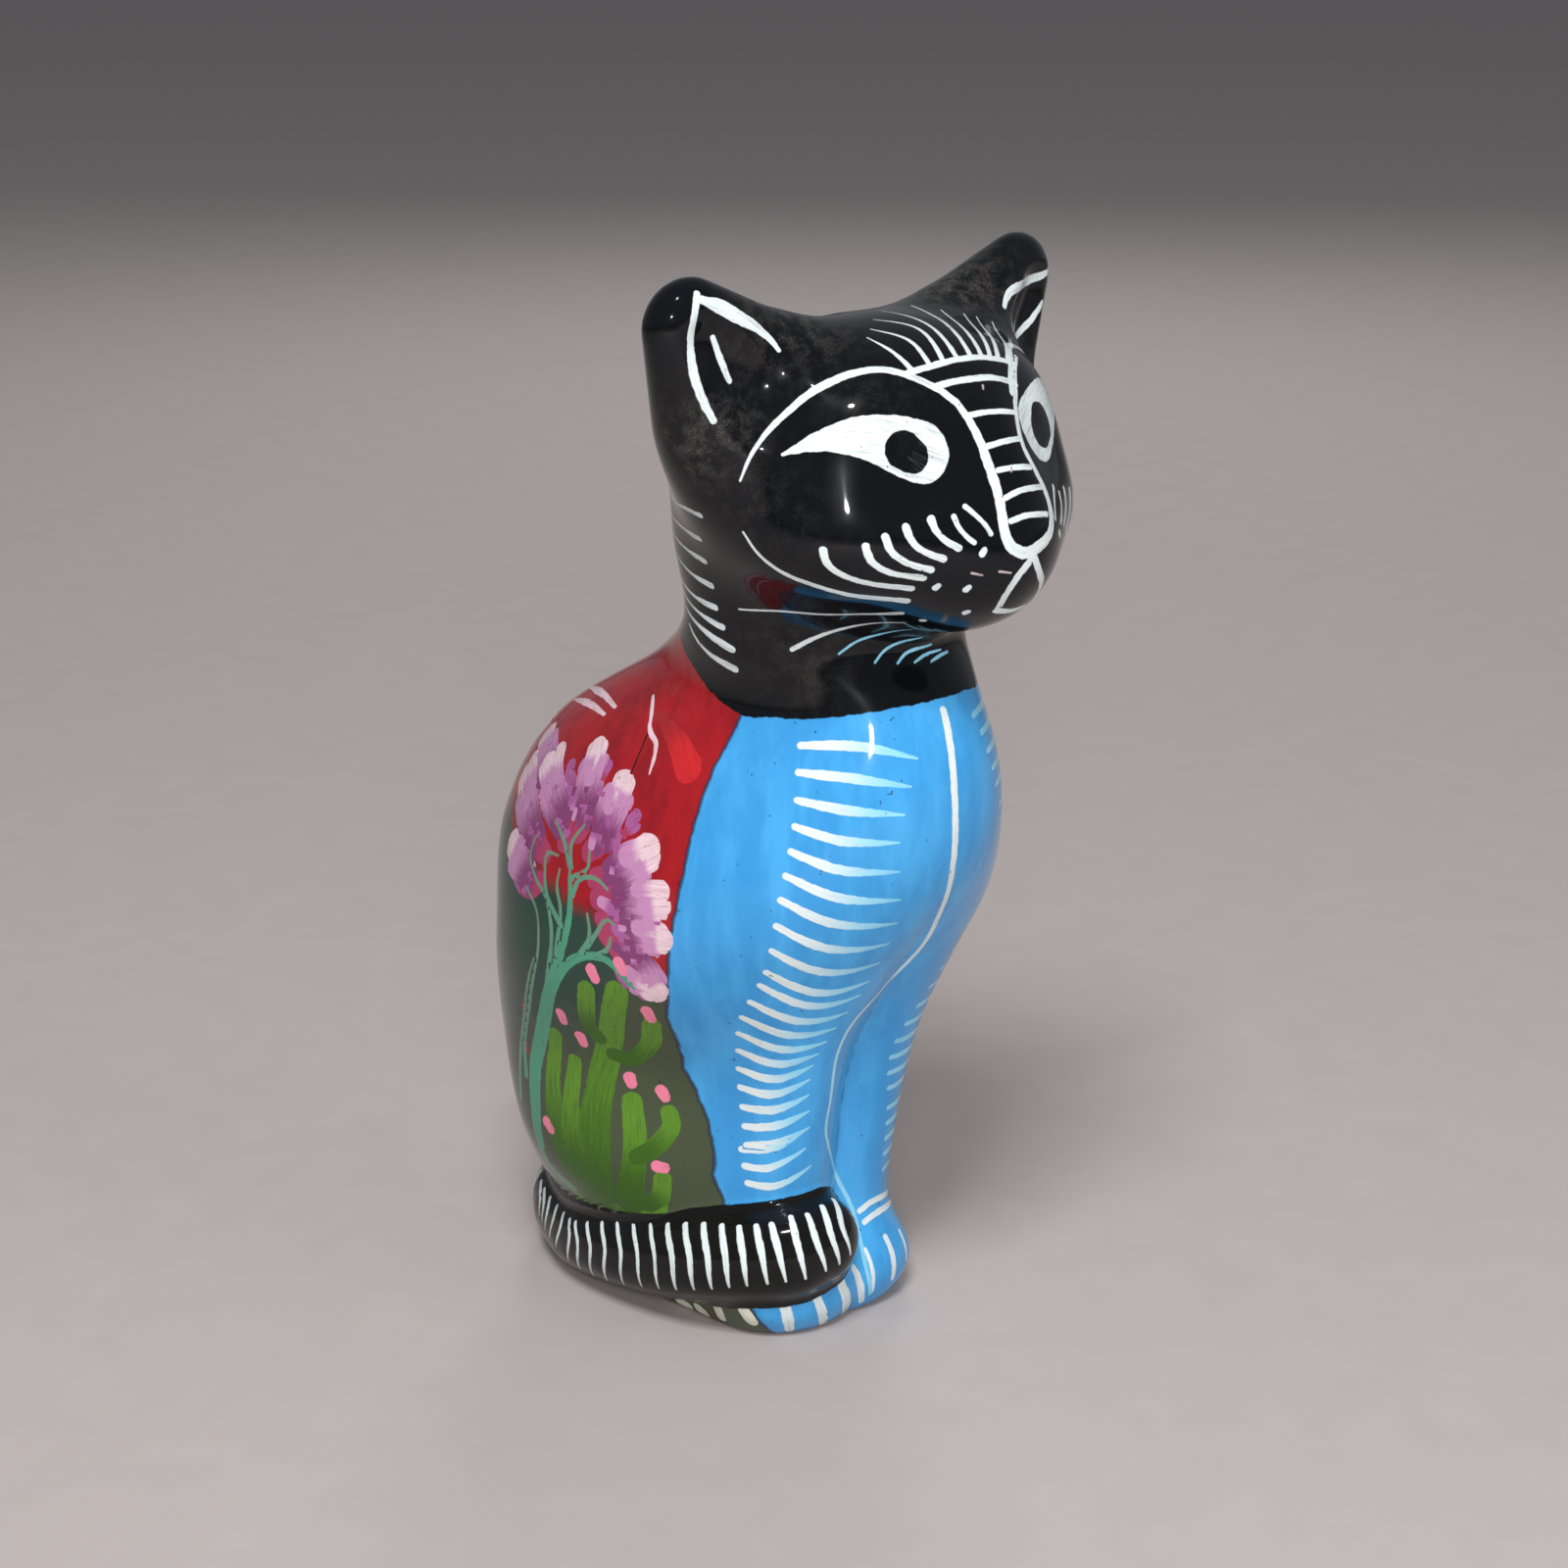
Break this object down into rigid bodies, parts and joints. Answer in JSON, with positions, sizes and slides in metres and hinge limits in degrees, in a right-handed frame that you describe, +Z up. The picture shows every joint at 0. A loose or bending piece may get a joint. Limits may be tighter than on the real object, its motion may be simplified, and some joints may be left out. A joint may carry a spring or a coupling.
{
  "type": "coin bank",
  "caption": "Seated cat coin bank in painted, lacquered pottery, hollow, with a coin slot across its back and its tail curled to the front paw.",
  "frame": {"origin": "on the ground, in the figure's plane of symmetry, under the middle of its outline from nose to rump", "axes": "+Z up to the ears, -Y the way the cat faces, +X to the cat's left"},
  "size_m": [0.1174, 0.1446, 0.2402],
  "materials": {
    "painted_pottery": "hand-painted pottery under a thick gloss lacquer: black head and tail, bright blue front, red, teal and olive back"
  },
  "bodies": {
    "root": {"cat_bank": "painted_pottery"}
  },
  "joints": []
}
